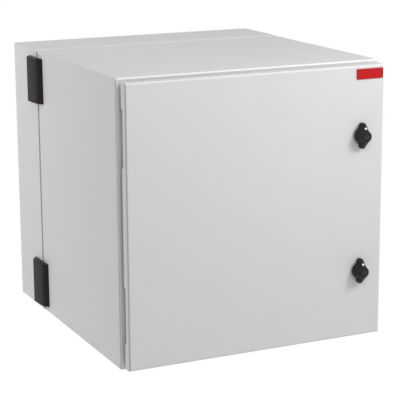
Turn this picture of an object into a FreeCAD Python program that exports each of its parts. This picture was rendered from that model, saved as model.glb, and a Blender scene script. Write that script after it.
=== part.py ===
import FreeCAD, Part
import math
import os
from types import SimpleNamespace

import Sketcher
from FreeCAD import Placement, Rotation, Vector

# Double-hinged steel wall cabinet: a shallow back section on the wall, a centre section that swings
# away from it on the left, and a front door with two quarter-turn wing knobs.
# X runs to the right, Z up, and the wall is the plane Y = 0, so the door faces -Y.
# The origin is the centre of the wall bolts. Lengths are in millimetres.

SIZES = {
    # Sheet metal and fits
    "width": 610,
    "height": 610,
    "wall": 2,
    "corner_inside": 2,
    "seat_gap": 0.3,
    "shaft_gap": 0.05,
    # Back section
    "back_depth": 156,
    "back_flange": 20,
    "wall_bolt_inset": 51,
    "wall_bolt_radius": 5.5,
    "panel_stud_inset": 76,
    "panel_stud_radius": 3,
    "panel_stud_length": 18,
    # Seam between the two sections
    "seam_gap": 5,
    "seal_margin": 1.5,
    "seal_width": 12,
    # Centre section
    "centre_depth": 465,
    "centre_inset": 1,
    "front_bend_inside": 1.5,
    "front_flange": 25,
    "rear_flange": 20,
    # Door
    "door_inset": 6,
    "door_standoff": 12,
    "door_depth": 22,
    "door_bend_inside": 2,
    "gasket_width": 12,
    "gasket_height": 8,
    # Swing hinge, on the left side across the seam
    "swing_inset": 67,
    "swing_height": 102,
    "swing_knuckle_height": 34,
    "swing_pivot_behind": 25,
    "swing_pivot_out": 7.5,
    "swing_knuckle_radius": 7,
    "swing_pin_radius": 3,
    "swing_pin_short": 1,
    "swing_leaf": 4,
    "swing_leaf_front": 4,
    "swing_leaf_rear": 24,
    "swing_leaf_corner": 6,
    "swing_cover_front": 31,
    "swing_cover_edge": 2,
    "swing_cover_foot": 4,
    "swing_shoulder_back": 16,
    "swing_shoulder_out": 12,
    "swing_cover_chamfer": 1,
    "swing_knuckle_gap": 2.5,
    "swing_screw_radius": 2.4,
    "swing_screw_head": 4.5,
    "swing_screw_grip": 3,
    "swing_screw_spread": 34,
    "swing_screw_margin": 15,
    # Door hinge, hidden inside the door's left flange
    "hinge_inset": 114,
    "hinge_length": 116,
    "hinge_notch_length": 120,
    "hinge_notch_cut": 6.5,
    "hinge_pivot_in": 8,
    "hinge_pivot_back": 16,
    "hinge_knuckle_radius": 4.5,
    "hinge_knuckle_length": 59,
    "hinge_pin_radius": 2.5,
    "hinge_plate": 3,
    "hinge_web": 3,
    "hinge_leaf_width": 9,
    "hinge_screw_radius": 2,
    "hinge_screw_head": 3.5,
    "hinge_screw_spread": 20,
    # Quarter-turn latch of the door
    "latch_inset": 56,
    "latch_end_inset": 149,
    "latch_barrel_radius": 11,
    "latch_barrel_length": 16,
    "latch_rim_radius": 20,
    "latch_rim_height": 2.5,
    "latch_nut_width": 30,
    "latch_nut_height": 6,
    "latch_spindle_radius": 5,
    "latch_thread_radius": 4,
    "latch_cam_thickness": 3,
    "latch_cam_length": 44,
    "latch_cam_gap": 0.5,
    "latch_cam_root": 9,
    "latch_cam_tip": 6,
    "cam_nut_width": 13,
    "cam_nut_height": 6.5,
    "knob_height": 27,
    "knob_base_radius": 16,
    "knob_face_radius": 12,
    "knob_base_height": 9,
    "knob_edge": 1.5,
    "knob_socket": 8,
    "wing_reach": 28,
    "wing_face_reach": 13,
    "wing_thickness": 9,
    "wing_shoulder": 8,
    "wing_face_drop": 2,
    "key_plug_radius": 4.7,
    "key_plug_length": 14,
    "key_slot_width": 1.2,
    "key_slot_height": 5.5,
    "key_slot_depth": 4,
    # Quarter-turn catch between centre section and back section
    "catch_end_inset": 155,
    "catch_axis_inset": 32,
    "catch_plate": 3,
    "catch_plate_height": 44,
    "catch_plate_lap": 16,
    "catch_spindle_radius": 6,
    "catch_knob_radius": 9,
    "catch_knob_height": 8,
    "catch_wing_reach": 17,
    "catch_wing_height": 15,
    "catch_wing_thickness": 5,
    "catch_cam_length": 19,
    # Rack fittings
    "rack_hole_inset": 7.55,
    "rack_hole_width": 9.5,
    "rack_unit": 44.45,
    "rack_first_hole": 6.35,
    "rack_second_hole": 22.225,
    "rack_third_hole": 38.1,
    "rack_end_margin": 2,
    "rack_face_width": 17,
    "rack_leg_depth": 40,
    "rack_setback": 26,
    "rail_rear_gap": 40,
    "rail_end_inset": 46,
    "rail_width": 60,
    "rail_flange": 25,
    "rail_slot_width": 7,
    "rail_slot_length": 22,
    "rail_slot_pitch": 45,
    "rail_first_slot": 20,
    "rail_slot_count": 8,
    "rack_bolt_radius": 3,
    "rack_bolt_head": 5,
    "rack_nut_width": 10,
    "rack_nut_height": 5,
    # Earthing studs
    "earth_stud_radius": 3,
    "earth_stud_length": 16,
    "earth_nut_width": 10,
    "earth_nut_height": 5,
    "earth_inset": 60,
    # Plain red plate on the door
    "plate_width": 64,
    "plate_height": 22,
    "plate_thickness": 1.5,
    "plate_side_margin": 4.5,
    "plate_top_margin": 7,
    "plate_corner": 1.5,
    "plate_rim": 1.5,
    "plate_rim_height": 0.5,
}

TOLERANCE = 0.01

doc = FreeCAD.newDocument("WallEnclosure")
sheet = doc.addObject("Spreadsheet::Sheet", "Sizes")
for row, (alias, value) in enumerate(SIZES.items(), start=1):
    sheet.set(f"A{row}", alias)
    sheet.set(f"B{row}", str(value))
    sheet.setAlias(f"B{row}", alias)
doc.recompute()


class Size:
    """A length that knows its number and its formula in the sheet."""

    def __init__(self, number, formula):
        self.number = number
        self.formula = formula

    def __add__(self, other):
        other = as_size(other)
        return Size(self.number + other.number, f"({self.formula} + {other.formula})")

    def __radd__(self, other):
        return as_size(other) + self

    def __sub__(self, other):
        other = as_size(other)
        return Size(self.number - other.number, f"({self.formula} - {other.formula})")

    def __rsub__(self, other):
        return as_size(other) - self

    def __mul__(self, other):
        other = as_size(other)
        return Size(self.number * other.number, f"({self.formula} * {other.formula})")

    def __rmul__(self, other):
        return as_size(other) * self

    def __truediv__(self, other):
        other = as_size(other)
        return Size(self.number / other.number, f"({self.formula} / {other.formula})")

    def __neg__(self):
        return Size(-self.number, f"(0 - {self.formula})")


def as_size(length):
    if isinstance(length, Size):
        return length
    return Size(length, str(length))


def whole(length):
    """The whole number below a size."""
    return Size(math.floor(length.number), f"floor({length.formula})")


D = SimpleNamespace(**{alias: Size(value, f"Sizes.{alias}") for alias, value in SIZES.items()})


# Document objects tied to the sheet

nodes = {}


def keep(label, thing):
    """Names a finished sub-part; its label is its file's name."""
    thing.Label = label
    nodes[label] = thing
    return thing


def tie(thing, prop, length):
    thing.setExpression(prop, as_size(length).formula)


def place(thing, x=0, y=0, z=0):
    for axis, length in (("x", x), ("y", y), ("z", z)):
        if isinstance(length, Size) or length != 0:
            tie(thing, f"Placement.Base.{axis}", length)
    return thing


def new_body(label):
    return keep(label, doc.addObject("PartDesign::Body", label))


def sketch_on(body, plane, lift=0):
    """An empty sketch on one of the body's own planes, lifted along the plane's normal."""
    sketch = body.newObject("Sketcher::SketchObject", f"{body.Label}_outline")
    support = next(item for item in body.Origin.OriginFeatures if item.Role == plane)
    sketch.AttachmentSupport = [(support, "")]
    sketch.MapMode = "FlatFace"
    tie(sketch, "AttachmentOffset.Base.z", lift)
    return sketch


def dimension(sketch, kind, geometry, length):
    """Adds one named dimension to a sketch and ties it to the sheet."""
    length = as_size(length)
    index = sketch.addConstraint(Sketcher.Constraint(kind, *geometry, length.number))
    name = f"size{index}"
    sketch.renameConstraint(index, name)
    tie(sketch, f"Constraints.{name}", length)


def fix_point(sketch, geometry, x, y):
    """Holds a point of the sketch at x, y from the sketch's origin."""
    if not isinstance(x, Size) and x == 0:
        sketch.addConstraint(Sketcher.Constraint("PointOnObject", *geometry, -2))
    else:
        dimension(sketch, "DistanceX", (-1, 1, *geometry), x)
    if not isinstance(y, Size) and y == 0:
        sketch.addConstraint(Sketcher.Constraint("PointOnObject", *geometry, -1))
    else:
        dimension(sketch, "DistanceY", (-1, 1, *geometry), y)


def flat(x, y):
    return Vector(as_size(x).number, as_size(y).number, 0)


def polygon(sketch, *corners):
    """A closed outline of straight lines through the corners."""
    first = sketch.GeometryCount
    count = len(corners)
    for index, corner in enumerate(corners):
        following = corners[(index + 1) % count]
        sketch.addGeometry(Part.LineSegment(flat(*corner), flat(*following)))
    for index, corner in enumerate(corners):
        following = first + (index + 1) % count
        sketch.addConstraint(Sketcher.Constraint("Coincident", first + index, 2, following, 1))
        fix_point(sketch, (first + index, 1), *corner)


def rectangle(sketch, left, bottom, right, top):
    polygon(sketch, (left, bottom), (right, bottom), (right, top), (left, top))


def frame_outline(sketch, half_width, half_height):
    rectangle(sketch, -half_width, -half_height, half_width, half_height)


def circle(sketch, x, y, radius):
    index = sketch.addGeometry(Part.Circle(flat(x, y), Vector(0, 0, 1), as_size(radius).number))
    fix_point(sketch, (index, 3), x, y)
    dimension(sketch, "Radius", (index,), radius)


def add_feature(body, kind, label):
    return body.newObject(f"PartDesign::{kind}", f"{body.Label}_{label}")


def pad(body, sketch, length, reverse=False):
    feature = add_feature(body, "Pad", "pad")
    feature.Profile = sketch
    feature.Reversed = reverse
    tie(feature, "Length", length)
    doc.recompute()
    return feature


def pocket(body, sketch, length, reverse=False):
    """Cuts the sketch's shape out of the body, and makes sure that the cut took something away."""
    before = body.Shape.Volume
    feature = add_feature(body, "Pocket", "pocket")
    feature.Profile = sketch
    feature.Reversed = reverse
    tie(feature, "Length", length)
    doc.recompute()
    if body.Shape.Volume >= before - TOLERANCE:
        raise RuntimeError(f"{feature.Label} cuts nothing")
    return feature


def revolve(body, sketch):
    feature = add_feature(body, "Revolution", "revolution")
    feature.Profile = sketch
    feature.ReferenceAxis = (sketch, ["V_Axis"])
    feature.Angle = 360
    doc.recompute()
    return feature


def edges_where(shape, test):
    return [f"Edge{number}" for number, edge in enumerate(shape.Edges, start=1) if test(edge)]


def round_edges(body, radius, test):
    base = body.Tip
    feature = add_feature(body, "Fillet", "fillet")
    feature.Base = (base, edges_where(base.Shape, test))
    tie(feature, "Radius", radius)
    doc.recompute()
    return feature


def bevel_edges(body, size, test):
    base = body.Tip
    feature = add_feature(body, "Chamfer", "chamfer")
    feature.Base = (base, edges_where(base.Shape, test))
    tie(feature, "Size", size)
    doc.recompute()
    return feature


def shell_out(body, wall, open_faces):
    """Hollows the body to sheet thickness and leaves the faces that pass the test open."""
    base = body.Tip
    full = base.Shape.Volume
    faces = [f"Face{number}" for number, face in enumerate(base.Shape.Faces, start=1) if open_faces(face)]
    feature = add_feature(body, "Thickness", "shell")
    feature.Base = (base, faces)
    feature.Reversed = True
    tie(feature, "Value", wall)
    doc.recompute()
    if body.Shape.Volume > full / 2:
        raise RuntimeError(f"{body.Label} isn't hollow")
    return feature


def repeat_up(body, original, step, count):
    """Repeats a feature upwards at a fixed step."""
    feature = add_feature(body, "LinearPattern", "row")
    feature.Originals = [original]
    feature.Direction = (original.Profile[0], ["V_Axis"])
    tie(feature, "Length", step * (count - 1))
    tie(feature, "Occurrences", count)
    body.Tip = feature
    doc.recompute()
    return feature


def at_y(reach):
    """A test for edges or faces that lie in the plane at this reach from the wall."""
    level = -as_size(reach).number
    return lambda item: abs(item.BoundBox.YMin - level) < TOLERANCE and item.BoundBox.YLength < TOLERANCE


def runs_along_y(edge):
    box = edge.BoundBox
    return box.YLength > TOLERANCE and box.XLength < TOLERANCE and box.ZLength < TOLERANCE


def runs_along_x(edge):
    box = edge.BoundBox
    return box.XLength > TOLERANCE and box.YLength < TOLERANCE and box.ZLength < TOLERANCE


def cylinder(radius, length, at, direction):
    shape = doc.addObject("Part::Cylinder", "rod")
    tie(shape, "Radius", radius)
    tie(shape, "Height", length)
    shape.Placement = Placement(Vector(), Rotation(Vector(0, 0, 1), direction))
    return place(shape, *at)


def fuse(*shapes):
    result = doc.addObject("Part::MultiFuse", "joined")
    result.Shapes = list(shapes)
    return result


def cut(base, tool):
    result = doc.addObject("Part::Cut", "cut")
    result.Base = base
    result.Tool = tool
    return result


def group(label, pieces):
    """A node of like fasteners, each a separate solid."""
    result = doc.addObject("Part::Compound", label)
    result.Links = pieces
    return keep(label, result)


def shifted(at, direction, length):
    return tuple(start + length * step for start, step in zip(at, direction))


def prism(sides, radius, length, at, direction):
    shape = doc.addObject("Part::Prism", "prism")
    shape.Polygon = sides
    tie(shape, "Circumradius", radius)
    tie(shape, "Height", length)
    shape.Placement = Placement(Vector(), Rotation(Vector(0, 0, 1), direction))
    return place(shape, *at)


def hexagon(width, length, at, direction):
    """A six-sided prism of a width across its flats."""
    return prism(6, width / 2 / math.cos(math.pi / 6), length, at, direction)


def screw(radius, length, head_radius, at, direction):
    """A hexagon screw whose head bears on the point at; its shank is plain and has few sides."""
    head_height = radius * 1.1
    shank = prism(8, radius, length, at, direction)
    head = prism(6, head_radius, head_height, shifted(at, direction, -head_height), direction)
    return fuse(shank, head)


def nut(width, height, radius, at, direction):
    """A nut on a round spindle or barrel."""
    return cut(hexagon(width, height, at, direction), cylinder(radius, height, at, direction))


def small_nut(width, height, radius, at, direction):
    """A nut on a screw's or stud's plain shank of few sides."""
    return cut(hexagon(width, height, at, direction), prism(8, radius, height, at, direction))


RIGHT = Vector(1, 0, 0)
LEFT = Vector(-1, 0, 0)
FRONT = Vector(0, -1, 0)
REAR = Vector(0, 1, 0)
UP = Vector(0, 0, 1)
ENDS = (("upper", 1), ("lower", -1))
SIDES = (("left", -1), ("right", 1))

half_width = D.width / 2
half_height = D.height / 2
centre_half_width = half_width - D.centre_inset
centre_half_height = half_height - D.centre_inset
door_half_width = centre_half_width - D.door_inset
door_half_height = centre_half_height - D.door_inset

# Outside radii of the bends
corner_bend = D.wall + D.corner_inside
front_bend = D.wall + D.front_bend_inside
door_bend = D.wall + D.door_bend_inside

# Reaches are distances from the wall, towards the front
rear_reach = D.back_depth + D.seam_gap
front_reach = rear_reach + D.centre_depth
rim_reach = front_reach + D.door_standoff
face_reach = rim_reach + D.door_depth
skin_reach = face_reach - D.wall
gasket_reach = skin_reach - D.gasket_height


def open_frame(body, reach, half_x, half_z):
    """Cuts the opening that the flanges round a wall's edge leave, from this reach backwards."""
    outline = sketch_on(body, "XZ_Plane", reach)
    frame_outline(outline, half_x, half_z)
    pocket(body, outline, D.wall)


def hollow(body, reach, depth, half_x, half_z):
    """Cuts the space between the walls and behind the flanges."""
    outline = sketch_on(body, "XZ_Plane", reach)
    frame_outline(outline, half_x, half_z)
    pocket(body, outline, depth)


# Back section: a welded tray on the wall

def swing_hinge_height(sign):
    return (half_height - D.swing_inset) * sign


def swing_screw_heights(sign):
    centre = swing_hinge_height(sign)
    return [centre + D.swing_screw_spread * side for side in (-1, 1)]


swing_pivot_reach = D.back_depth - D.swing_pivot_behind
leaf_screw_reach = swing_pivot_reach - (D.swing_leaf_rear + D.swing_knuckle_radius) / 2
cover_screw_reach = rear_reach + D.swing_cover_front - D.swing_screw_margin


def make_back_box():
    body = new_body("back_box")
    outline = sketch_on(body, "XZ_Plane")
    frame_outline(outline, half_width, half_height)
    pad(body, outline, D.back_depth)
    round_edges(body, corner_bend, runs_along_y)
    open_frame(body, D.back_depth, half_width - D.back_flange, half_height - D.back_flange)
    hollow(body, D.back_depth - D.wall, D.back_depth - D.wall * 2, half_width - D.wall, half_height - D.wall)
    bolts = sketch_on(body, "XZ_Plane", D.wall)
    for _, across in SIDES:
        for _, up in ENDS:
            bolt_x = (half_width - D.wall_bolt_inset) * across
            bolt_z = (half_height - D.wall_bolt_inset) * up
            circle(bolts, bolt_x, bolt_z, D.wall_bolt_radius)
    pocket(body, bolts, D.wall)
    holes = sketch_on(body, "YZ_Plane", -half_width + D.wall)
    for _, sign in ENDS:
        for height in swing_screw_heights(sign):
            circle(holes, -leaf_screw_reach, height, D.swing_screw_radius + D.shaft_gap)
    pocket(body, holes, D.wall)


def make_panel_studs():
    studs = []
    for _, across in SIDES:
        for _, up in ENDS:
            stud_x = (half_width - D.panel_stud_inset) * across
            stud_z = (half_height - D.panel_stud_inset) * up
            at = (stud_x, -D.wall, stud_z)
            studs.append(cylinder(D.panel_stud_radius, D.panel_stud_length, at, FRONT))
    group("panel_studs", studs)


def make_seam_seal():
    body = new_body("seam_seal")
    ring = sketch_on(body, "XZ_Plane", D.back_depth)
    outside = D.seal_margin
    inside = D.seal_margin + D.seal_width
    frame_outline(ring, half_width - outside, half_height - outside)
    frame_outline(ring, half_width - inside, half_height - inside)
    pad(body, ring, D.seam_gap - D.seat_gap)


# Swing hinge: a fixed leaf with two knuckles, and a domed cover leaf whose knuckle turns between them.
# Both are modelled about the hinge's own pivot, so X = 0, Y = 0 is the pin's axis.

swing_back_face = D.swing_pivot_out
swing_centre_face = D.swing_pivot_out + D.centre_inset
swing_leaf_face = swing_back_face - D.swing_leaf
swing_bore = D.swing_pin_radius + D.shaft_gap
swing_seam = D.swing_pivot_behind + D.seam_gap


def swing_hinge_place(thing, sign):
    place(thing, -half_width - D.swing_pivot_out, -swing_pivot_reach, swing_hinge_height(sign))


def make_swing_leaf(end, sign):
    """The fixed leaf, screwed to the back box from inside."""
    body = new_body(f"swing_hinge_leaf_{end}")
    low = -D.swing_height / 2
    leaf = sketch_on(body, "XY_Plane", low)
    front = -D.swing_pivot_behind + D.swing_leaf_front
    rectangle(leaf, swing_leaf_face, front, swing_back_face, D.swing_leaf_rear)
    pad(body, leaf, D.swing_height)
    rear = D.swing_leaf_rear.number
    round_edges(
        body, D.swing_leaf_corner,
        lambda edge: runs_along_x(edge) and abs(edge.BoundBox.YMin - rear) < TOLERANCE,
    )
    block = sketch_on(body, "XY_Plane", low)
    rectangle(block, 0, -D.swing_knuckle_radius, swing_back_face, D.swing_knuckle_radius)
    pad(body, block, D.swing_height)
    barrel = sketch_on(body, "XY_Plane", low)
    circle(barrel, 0, 0, D.swing_knuckle_radius)
    pad(body, barrel, D.swing_height)
    middle = sketch_on(body, "XY_Plane", -D.swing_knuckle_height / 2 - D.seat_gap)
    middle_radius = D.swing_knuckle_radius + D.seat_gap
    rectangle(middle, -middle_radius, -middle_radius, swing_leaf_face, middle_radius)
    pocket(body, middle, D.swing_knuckle_height + D.seat_gap * 2, reverse=True)
    room = sketch_on(body, "XY_Plane", -D.swing_knuckle_height / 2 - D.seat_gap)
    circle(room, 0, 0, middle_radius)
    pocket(body, room, D.swing_knuckle_height + D.seat_gap * 2, reverse=True)
    bore = sketch_on(body, "XY_Plane", low)
    circle(bore, 0, 0, swing_bore)
    pocket(body, bore, D.swing_height, reverse=True)
    holes = sketch_on(body, "YZ_Plane", swing_back_face - D.swing_screw_grip - D.shaft_gap)
    for height in swing_screw_heights(0):
        circle(holes, swing_pivot_reach - leaf_screw_reach, height, D.swing_screw_radius + D.shaft_gap)
    pocket(body, holes, D.swing_screw_grip + D.shaft_gap, reverse=True)
    swing_hinge_place(body, sign)


def bulge(sketch, start, end, rise):
    """An anticlockwise arc that bulges to the right of the line from start to end by a share of its length."""
    first = flat(*start)
    last = flat(*end)
    across = last - first
    middle = (first + last) / 2 + Vector(across.y, -across.x, 0) * rise
    return sketch.addGeometry(Part.Arc(first, middle, last))


def cover_outline(sketch):
    """The cover's section: a rounded shoulder and a gentle crown that runs into the knuckle.

    The chain runs anticlockwise: knuckle, crown, shoulder, then the straight sides. The arcs are drawn
    roughly, and their tangents and end points settle them.
    """
    radius = D.swing_knuckle_radius
    front = -swing_seam - D.swing_cover_front
    foot = -swing_seam - D.swing_cover_foot
    under = swing_leaf_face - D.seat_gap
    edge = (swing_centre_face - D.swing_cover_edge, front)
    shoulder = (swing_centre_face - D.swing_shoulder_out, front + D.swing_shoulder_back)
    knuckle = sketch.addGeometry(Part.Arc(flat(under, -radius), flat(0, radius), flat(-radius, 0)))
    crown = bulge(sketch, (-radius, 0), shoulder, 0.02)
    rounding = bulge(sketch, shoulder, edge, 0.1)
    corners = [edge, (swing_centre_face, front), (swing_centre_face, foot), (under, foot), (under, -radius)]
    sides = [
        sketch.addGeometry(Part.LineSegment(flat(*start), flat(*end)))
        for start, end in zip(corners, corners[1:])
    ]
    for line, corner in zip(sides, corners):
        fix_point(sketch, (line, 1), *corner)
    chain = [rounding, *sides, knuckle]
    for before, after in zip(chain, chain[1:]):
        sketch.addConstraint(Sketcher.Constraint("Coincident", before, 2, after, 1))
    sketch.addConstraint(Sketcher.Constraint("Vertical", sides[-1]))
    sketch.addConstraint(Sketcher.Constraint("Coincident", knuckle, 3, -1, 1))
    dimension(sketch, "Radius", (knuckle,), radius)
    sketch.addConstraint(Sketcher.Constraint("PointOnObject", knuckle, 2, -1))
    sketch.addConstraint(Sketcher.Constraint("Tangent", knuckle, 2, crown, 1))
    sketch.addConstraint(Sketcher.Constraint("Tangent", crown, 2, rounding, 1))
    fix_point(sketch, (crown, 2), *shoulder)


def make_swing_cover(end, sign):
    """The moving leaf, a domed casting screwed to the centre section from inside."""
    body = new_body(f"swing_hinge_cover_{end}")
    low = -D.swing_height / 2
    outline = sketch_on(body, "XY_Plane", low)
    cover_outline(outline)
    pad(body, outline, D.swing_height)
    half = D.swing_height.number / 2
    inside = swing_leaf_face.number - D.seat_gap.number - TOLERANCE
    behind = -D.swing_knuckle_radius.number - TOLERANCE

    def outer_rim(edge):
        box = edge.BoundBox
        flat_end = box.ZLength < TOLERANCE and abs(abs(box.ZMin) - half) < TOLERANCE
        return flat_end and box.XMin < inside and box.YMin < behind

    bevel_edges(body, D.swing_cover_chamfer, outer_rim)
    gap = D.swing_knuckle_radius + D.swing_knuckle_gap
    third = D.swing_knuckle_height / 2
    for start in (low, third):
        room = sketch_on(body, "XY_Plane", start)
        rectangle(room, -gap * 2, -gap, gap, gap)
        pocket(body, room, D.swing_height / 2 - third, reverse=True)
    bore = sketch_on(body, "XY_Plane", low)
    circle(bore, 0, 0, swing_bore)
    pocket(body, bore, D.swing_height, reverse=True)
    holes = sketch_on(body, "YZ_Plane", swing_centre_face - D.swing_screw_grip - D.shaft_gap)
    for height in swing_screw_heights(0):
        circle(holes, swing_pivot_reach - cover_screw_reach, height, D.swing_screw_radius + D.shaft_gap)
    pocket(body, holes, D.swing_screw_grip + D.shaft_gap, reverse=True)
    swing_hinge_place(body, sign)


def make_swing_pin(end, sign):
    length = D.swing_height - D.swing_pin_short * 2
    at = (-half_width - D.swing_pivot_out, -swing_pivot_reach, swing_hinge_height(sign) - length / 2)
    keep(f"swing_hinge_pin_{end}", cylinder(D.swing_pin_radius, length, at, UP))


def make_swing_screws(label, side_face, reach):
    """Screws through the left side, with their heads inside the cabinet."""
    screws = []
    for _, sign in ENDS:
        for height in swing_screw_heights(sign):
            at = (-side_face + D.wall, -reach, height)
            length = D.wall + D.swing_screw_grip
            screws.append(screw(D.swing_screw_radius, length, D.swing_screw_head, at, LEFT))
    group(label, screws)


# Centre section: a four-sided box whose front edge turns in and then forward as a gutter

collar_outer_x = centre_half_width - D.front_flange
collar_outer_z = centre_half_height - D.front_flange
hinge_pivot_x = -door_half_width + D.hinge_pivot_in
hinge_pivot_reach = face_reach - D.hinge_pivot_back


def door_hinge_height(sign):
    return (door_half_height - D.hinge_inset) * sign


def hinge_screw_places(sign):
    centre = door_hinge_height(sign)
    return [centre + D.hinge_screw_spread * side for side in (-1, 1)]


hinge_screw_reach = front_reach + (hinge_pivot_reach - front_reach) / 2


def make_centre_frame():
    body = new_body("centre_frame")
    outline = sketch_on(body, "XZ_Plane", rear_reach)
    frame_outline(outline, centre_half_width, centre_half_height)
    pad(body, outline, D.centre_depth)
    round_edges(body, corner_bend, runs_along_y)
    round_edges(body, front_bend, at_y(front_reach))
    open_frame(body, front_reach, collar_outer_x - D.wall, collar_outer_z - D.wall)
    open_frame(
        body, rear_reach + D.wall, centre_half_width - D.rear_flange, centre_half_height - D.rear_flange,
    )
    inside = D.centre_depth - D.wall * 2
    hollow(body, front_reach - D.wall, inside, centre_half_width - D.wall, centre_half_height - D.wall)
    collar = sketch_on(body, "XZ_Plane", front_reach)
    frame_outline(collar, collar_outer_x, collar_outer_z)
    frame_outline(collar, collar_outer_x - D.wall, collar_outer_z - D.wall)
    pad(body, collar, gasket_reach - D.seat_gap - front_reach)
    swing_holes = sketch_on(body, "YZ_Plane", -centre_half_width + D.wall)
    for _, sign in ENDS:
        for height in swing_screw_heights(sign):
            circle(swing_holes, -cover_screw_reach, height, D.swing_screw_radius + D.shaft_gap)
    pocket(body, swing_holes, D.wall)
    hinge_holes = sketch_on(body, "YZ_Plane", -collar_outer_x + D.wall)
    for _, sign in ENDS:
        for height in hinge_screw_places(sign):
            circle(hinge_holes, -hinge_screw_reach, height, D.hinge_screw_radius + D.shaft_gap)
    pocket(body, hinge_holes, D.wall)


# Rack fittings: two slotted angles on four channel rails

rack_units = whole((collar_outer_z - D.wall) * 2 / D.rack_unit)
rack_half_height = rack_units * D.rack_unit / 2 + D.rack_end_margin
rack_reach = front_reach - D.rack_setback
rail_wall_x = centre_half_width - D.wall
rack_outer_x = rail_wall_x - D.rail_width
rack_inner_x = rack_outer_x - D.rack_face_width
rail_rear_reach = rear_reach + D.rail_rear_gap


def rail_height(sign):
    return (rack_half_height - D.rail_end_inset) * sign


def make_rack_rail(end, up, side, across):
    """A channel across the gap between the side wall and the rack angle, open towards the middle."""
    body = new_body(f"rack_rail_{end}_{side}")
    base = rail_height(up)
    lip = base - D.rail_flange * up
    skin = base - D.wall * up
    inner = rack_outer_x * across
    outer = rail_wall_x * across
    profile = sketch_on(body, "XZ_Plane", rail_rear_reach)
    polygon(
        profile,
        (inner, base), (outer, base), (outer, lip), (outer - D.wall * across, lip),
        (outer - D.wall * across, skin), (inner + D.wall * across, skin),
        (inner + D.wall * across, lip), (inner, lip),
    )
    pad(body, profile, rack_reach - rail_rear_reach)
    slots = sketch_on(body, "YZ_Plane", inner)
    height = rail_bolt_height(up)
    for step in range(SIZES["rail_slot_count"]):
        middle = D.rail_first_slot + D.rail_slot_pitch * step - rack_reach
        half_length = D.rail_slot_length / 2
        half_slot = D.rail_slot_width / 2
        rectangle(slots, middle - half_length, height - half_slot, middle + half_length, height + half_slot)
    pocket(body, slots, D.wall, reverse=across > 0)


def rail_bolt_height(up):
    return rail_height(up) - (D.rail_flange + D.wall) / 2 * up


def make_rack_angle(side, across):
    body = new_body(f"rack_angle_{side}")
    section = sketch_on(body, "XY_Plane", -rack_half_height)
    inner = rack_inner_x * across
    outer = rack_outer_x * across
    polygon(
        section,
        (inner, -rack_reach), (outer, -rack_reach), (outer, -rack_reach + D.rack_leg_depth),
        (outer - D.wall * across, -rack_reach + D.rack_leg_depth),
        (outer - D.wall * across, -rack_reach + D.wall), (inner, -rack_reach + D.wall),
    )
    pad(body, section, rack_half_height * 2)
    bolts = sketch_on(body, "YZ_Plane", outer)
    for _, up in ENDS:
        circle(bolts, -rack_reach + D.rail_first_slot, rail_bolt_height(up), D.rail_slot_width / 2)
    pocket(body, bolts, D.wall, reverse=across < 0)
    holes = sketch_on(body, "XZ_Plane", rack_reach)
    bottom = -rack_units * D.rack_unit / 2
    middle = (rack_inner_x + D.rack_hole_inset) * across
    half_hole = D.rack_hole_width / 2
    for offset in (D.rack_first_hole, D.rack_second_hole, D.rack_third_hole):
        height = bottom + offset
        rectangle(holes, middle - half_hole, height - half_hole, middle + half_hole, height + half_hole)
    unit = pocket(body, holes, D.wall)
    repeat_up(body, unit, D.rack_unit, rack_units)


def rack_bolt_places():
    reach = rack_reach - D.rail_first_slot
    return [(across, -reach, rail_bolt_height(up)) for _, across in SIDES for _, up in ENDS]


def make_rack_bolts():
    bolts = []
    nuts = []
    grip = D.wall * 2
    for across, y, z in rack_bolt_places():
        direction = RIGHT * across
        head_x = (rack_outer_x - D.wall) * across
        nut_x = (rack_outer_x + D.wall) * across
        length = grip + D.rack_nut_height
        bolts.append(screw(D.rack_bolt_radius, length, D.rack_bolt_head, (head_x, y, z), direction))
        nut_bore = D.rack_bolt_radius + D.shaft_gap
        nuts.append(small_nut(D.rack_nut_width, D.rack_nut_height, nut_bore, (nut_x, y, z), direction))
    group("rack_bolts", bolts)
    group("rack_nuts", nuts)


# Catch that holds the centre section to the back section, worked from inside with the door open

catch_x = half_width - D.catch_axis_inset
catch_plate_rear = rear_reach + D.wall
catch_plate_front = catch_plate_rear + D.catch_plate
catch_cam_reach = D.back_depth - D.wall - D.latch_cam_gap


def catch_height(sign):
    return (half_height - D.catch_end_inset) * sign


def make_catch_plate(end, sign):
    """The plate welded behind the centre section's rear flange that carries the catch."""
    body = new_body(f"catch_plate_{end}")
    flange_edge = centre_half_width - D.rear_flange
    outline = sketch_on(body, "XZ_Plane", catch_plate_rear)
    inner = catch_x - D.catch_plate_lap
    rectangle(
        outline, inner, catch_height(sign) - D.catch_plate_height / 2,
        flange_edge + D.catch_plate_lap, catch_height(sign) + D.catch_plate_height / 2,
    )
    circle(outline, catch_x, catch_height(sign), D.catch_spindle_radius + D.shaft_gap)
    pad(body, outline, D.catch_plate)


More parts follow.
